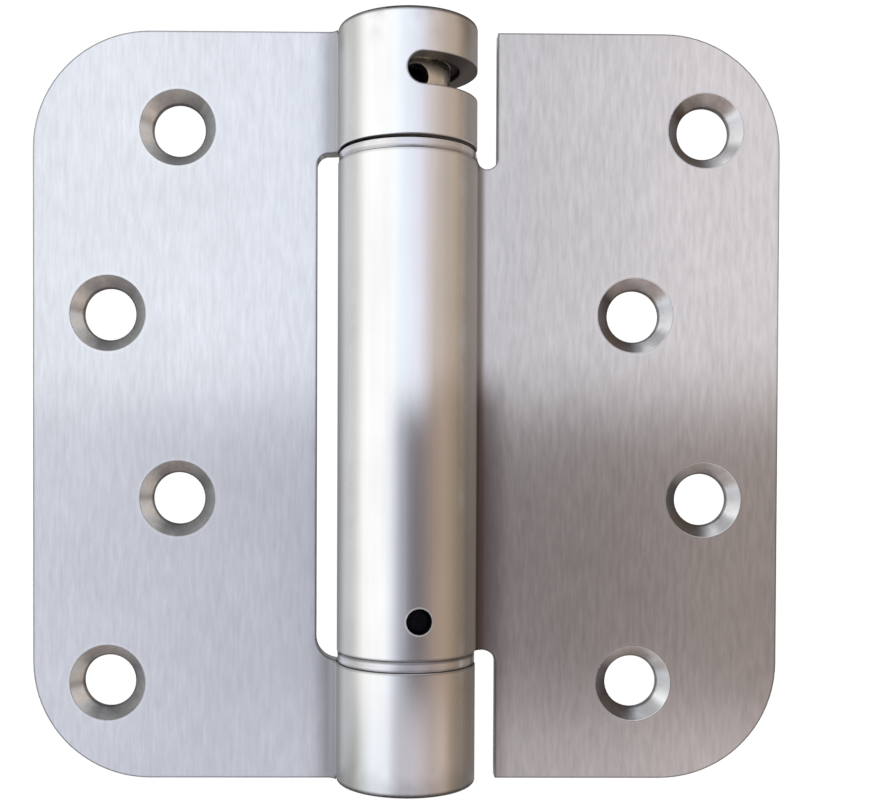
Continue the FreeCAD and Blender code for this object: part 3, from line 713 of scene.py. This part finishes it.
    def lines_over(self, colour):
        """Painted shade in dark lines on the sheet's outer edges and at the barrel's ends, and dark lines
        at its joints.
        """
        rounded = self.add("Bevel", {"Radius": EDGE_REACH}, samples=8).outputs[0]
        flat = self.add("NewGeometry").outputs["Normal"]
        inputs = {0: rounded, 1: flat}
        agreement = self.add("VectorMath", inputs, operation="DOT_PRODUCT").outputs["Value"]
        # Painted shade along sharp edges and at the barrel's ends
        edge_shade = self.product(
            self.step(agreement, *SHARP_EDGE),
            self.opposite(self.largest(self.in_sink, self.pin_rim_highlight)),
            self.opposite(self.at_joint),
        )
        at_end = self.step(self.size(self.z), *END_LINE)
        end_line = self.product(at_end, self.on_barrel, self.outside(*END_LINE_RING))
        edge_shade = self.largest(edge_shade, end_line)
        colour = self.mix(self.product(edge_shade, EDGE_SHADE_COVER), colour, EDGE_SHADE_COLOUR)
        return self.mix(self.joints, colour, JOINT_COLOUR)

    def roughness(self):
        at_side = self.step(self.size(self.facing[0]), *FACES_SIDE_OF_BARREL)
        sheet = self.spread(self.scratches, *SHEET_ROUGHNESS)
        barrel = self.spread(self.scratches, *BARREL_ROUGHNESS)
        barrel = self.choose(at_side, barrel, BARREL_SIDE_ROUGHNESS)
        roughness = self.choose(self.on_barrel, sheet, barrel)
        roughness = self.choose(self.in_bend, roughness, self.look["bend"]["roughness"])
        roughness = self.choose(self.in_sink, roughness, SINK_ROUGHNESS)
        roughness = self.choose(self.largest(self.cut, self.pin_rim_highlight), roughness, CUT_ROUGHNESS)
        return self.choose(self.bore, roughness, BORE_ROUGHNESS)

    def leaning_normal(self):
        """Normal that leans sideways on the sheet and is smooth in the countersinks."""
        lean = self.look["lean"]
        slope = self.choose(self.in_sink, -lean, -SINK_LEAN * lean)
        leaning = self.product(self.facing[1], self.in_front, self.outside(*LEANING_RING), slope)
        across, upward = (self.product(self.side[i], -math.sin(SINK_TILT)) for i in (0, 2))
        in_cone = self.product(self.in_sink, self.step(self.facing[1], *FACES_OUT_OF_SINK))
        smooth = self.turn(in_cone, self.normal, self.vector(across, -math.cos(SINK_TILT), upward))
        leaned = self.vectors("ADD", smooth, self.vector(leaning, 0.0, 0.0))
        return self.world_normal(leaned, self.product(self.at_joint, self.opposite(self.end_face)))


class TurnedSteel(Steel):
    """Turned steel with fine rings round the axis. The tension plug has painted shade in the rod holes in
    its neck.
    """

    def __init__(self, name, colour, roughness, rod_holes=False):
        super().__init__(name)
        rings = self.noise(self.place, scale=3000, stretch=(0.05, 0.05, 1), detail=2.0)
        spots = self.noise(self.place, scale=500, detail=3.0)
        tone = self.product(self.contrast(rings, share=0.08), self.contrast(spots, share=0.05))
        toned = self.shade(colour, tone)
        roughness = self.spread(spots, *roughness)
        metallic = 1.0
        lines, close = self.groove_lines()
        at_surface = self.outside(*WASHER_RING)
        toned = self.mix(self.product(lines, at_surface), toned, JOINT_COLOUR)
        if rod_holes:
            from_slot = self.gap(self.z, SLOT_LEVEL)
            # Painted shade inside the rod holes
            in_hole = self.product(
                self.step(self.radius, *ROD_HOLE_DEPTH),
                self.step(from_slot, *ROD_HOLE_HEIGHT),
            )
            toned = self.mix(in_hole, toned, ROD_HOLE_SHADE)

            # Painted shade: the corner between neck and flange is dark and dull where the slot shows it
            corner = self.product(
                self.step(self.radius, *NECK_CORNER_EDGE),
                self.step(self.x, *NECK_CORNER_SPAN),
                self.step(from_slot, *NECK_CORNER_HEIGHT),
            )
            toned = self.mix(corner, toned, NECK_CORNER_SHADE)
            roughness = self.choose(corner, roughness, NECK_CORNER_ROUGHNESS)
            metallic = self.opposite(corner)
        off_end_face = self.step(self.size(self.facing[2]), *FACES_OFF_END)
        normal = self.world_normal(self.normal, self.product(close, at_surface, off_end_face))
        around = self.vector(self.product(self.y, -1.0), self.x, 0.0)
        bumpy = self.bump(TURNED_BUMP, rings, normal)
        self.finish(toned, roughness, metallic, TURNED_ANISOTROPY, around, bumpy)


def pin_material():
    """Blackened steel."""
    material = bpy.data.materials.new("black_pin")
    nodes = Nodes(material)
    place = nodes.add("TexCoord").outputs["Object"]
    grain = nodes.noise(place, scale=2500, detail=3.0)
    inputs = {
        "Base Color": nodes.shade(PIN_COLOUR, nodes.contrast(grain, share=0.4)),
        "Roughness": nodes.spread(grain, *PIN_ROUGHNESS),
        "Specular IOR Level": 0.04,
    }
    shader = nodes.add("BsdfPrincipled", inputs).outputs[0]
    nodes.add("OutputMaterial", {"Surface": shader})
    return material


def dress(material, *nodes):
    for node in nodes:
        slots = frame["nodes"][node].data.materials
        slots.clear()
        slots.append(material)


make_world()
make_floor()
make_camera()
frame_patterns = ["frame_inner_screws", "frame_outer_screws"]
door_patterns = ["door_inner_screws", "door_outer_screws"]
frame_steel = LeafSteel("frame_leaf_steel", FRAME_LOOK, frame_patterns)
door_steel = LeafSteel("door_leaf_steel", DOOR_LOOK, door_patterns)
dress(frame_steel.material, "frame_leaf")
dress(door_steel.material, "door_leaf")
plug_steel = TurnedSteel("plug_steel", PLUG_COLOUR, PLUG_ROUGHNESS, rod_holes=True)
washer_steel = TurnedSteel("washer_steel", WASHER_COLOUR, WASHER_ROUGHNESS)
spring_steel = TurnedSteel("spring_steel", SPRING_COLOUR, SPRING_ROUGHNESS)
dress(plug_steel.material, "tension_plug", "anchor_plug")
dress(washer_steel.material, "top_washer", "bottom_washer")
dress(spring_steel.material, "torsion_spring")
dress(pin_material(), "anchor_pin")

bpy.context.scene.view_settings.view_transform = "Standard"
